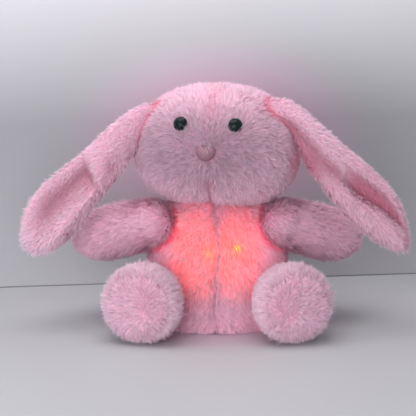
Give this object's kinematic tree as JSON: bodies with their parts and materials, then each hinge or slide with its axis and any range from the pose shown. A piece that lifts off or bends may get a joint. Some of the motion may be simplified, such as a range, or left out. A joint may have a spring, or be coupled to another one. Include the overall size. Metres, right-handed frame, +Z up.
{
  "type": "plush night light",
  "caption": "Sitting plush rabbit with long hanging ears whose belly glows, with a light unit and a battery box inside a back pouch.",
  "frame": {"origin": "on the floor under the middle of the body", "axes": "+Z up, the rabbit faces -Y, its ears reach out along X"},
  "size_m": [0.385, 0.2009, 0.245],
  "materials": {
    "pink_plush": "long soft pile, glows salmon at the belly when lit",
    "sole_plush": "soft pile combed out from the middle",
    "black_plastic": "polished",
    "nose_plastic": "satin mauve",
    "washer_plastic": "natural",
    "white_plastic": "moulded",
    "lens_plastic": "frosted, lets light through",
    "circuit_board": "lacquered board",
    "plated_steel": "nickel plated",
    "lamp_resin": "clear resin, lit warm",
    "case_plastic": "moulded",
    "cell_wrap": "printed-free sleeve over steel",
    "lead_cover": "soft cover",
    "hook_and_loop": "woven strip"
  },
  "bodies": {
    "body": {"body": "pink_plush", "tail": "pink_plush", "light_housing": "white_plastic", "light_lens": "lens_plastic", "light_board": "circuit_board", "board_screw_1": "plated_steel", "board_screw_2": "plated_steel", "lamp_left": "lamp_resin", "lamp_right": "lamp_resin", "lead": "lead_cover", "battery_box": "case_plastic", "cell_1": "cell_wrap", "cell_2": "cell_wrap", "cell_3": "cell_wrap", "spring_1": "plated_steel", "spring_2": "plated_steel", "spring_3": "plated_steel", "contact_1": "plated_steel", "contact_2": "plated_steel", "contact_3": "plated_steel", "loop_strip": "hook_and_loop"},
    "head": {"head": "pink_plush", "eye_left": "black_plastic", "eye_right": "black_plastic", "eye_washer_left": "washer_plastic", "eye_washer_right": "washer_plastic", "nose": "nose_plastic", "nose_washer": "washer_plastic"},
    "ear_left": {"ear_left": "pink_plush"},
    "ear_right": {"ear_right": "pink_plush"},
    "arm_left": {"arm_left": "pink_plush"},
    "arm_right": {"arm_right": "pink_plush"},
    "leg_left": {"leg_left": "pink_plush", "sole_left": "sole_plush"},
    "leg_right": {"leg_right": "pink_plush", "sole_right": "sole_plush"},
    "back_flap": {"back_flap": "pink_plush", "hook_strip": "hook_and_loop"},
    "battery_lid": {"battery_lid": "case_plastic", "lid_screw": "plated_steel"},
    "switch_knob": {"switch_knob": "black_plastic"}
  },
  "joints": [
    {"name": "head_nod", "type": "hinge", "parent": "body", "child": "head", "pos_m": [-0.001, -0.008, 0.183], "axis": [-0.9848, 0.1736, 0], "range_deg": [-8, 18], "stiffness_Nm_per_rad": 0.08},
    {"name": "ear_left_lift", "type": "hinge", "parent": "head", "child": "ear_left", "pos_m": [-0.072, -0.011, 0.204], "axis": [-0.1464, 0.979, -0.1421], "range_deg": [0, 60]},
    {"name": "ear_right_lift", "type": "hinge", "parent": "head", "child": "ear_right", "pos_m": [0.0715, -0.03, 0.2095], "axis": [-0.1026, -0.9877, 0.1178], "range_deg": [0, 60]},
    {"name": "arm_left_swing", "type": "hinge", "parent": "body", "child": "arm_left", "pos_m": [-0.071, -0.016, 0.105], "axis": [0, 1, 0], "range_deg": [0, 45]},
    {"name": "arm_right_swing", "type": "hinge", "parent": "body", "child": "arm_right", "pos_m": [0.071, -0.016, 0.105], "axis": [0, -1, 0], "range_deg": [0, 45]},
    {"name": "leg_left_lift", "type": "hinge", "parent": "body", "child": "leg_left", "pos_m": [-0.064, -0.048, 0.0395], "axis": [-0.9703, 0.2419, 0], "range_deg": [0, 20]},
    {"name": "leg_right_lift", "type": "hinge", "parent": "body", "child": "leg_right", "pos_m": [0.064, -0.048, 0.0395], "axis": [-0.9703, -0.2419, 0], "range_deg": [0, 20]},
    {"name": "back_flap_open", "type": "hinge", "parent": "body", "child": "back_flap", "pos_m": [0, 0.05758, 0.103], "axis": [1, 0, 0], "range_deg": [0, 120]},
    {"name": "battery_lid_lift", "type": "slide", "parent": "body", "child": "battery_lid", "axis": [0, 1, 0], "range_m": [0, 0.0024]},
    {"name": "switch_slide", "type": "slide", "parent": "body", "child": "switch_knob", "axis": [1, 0, 0], "range_m": [0, 0.003]}
  ]
}
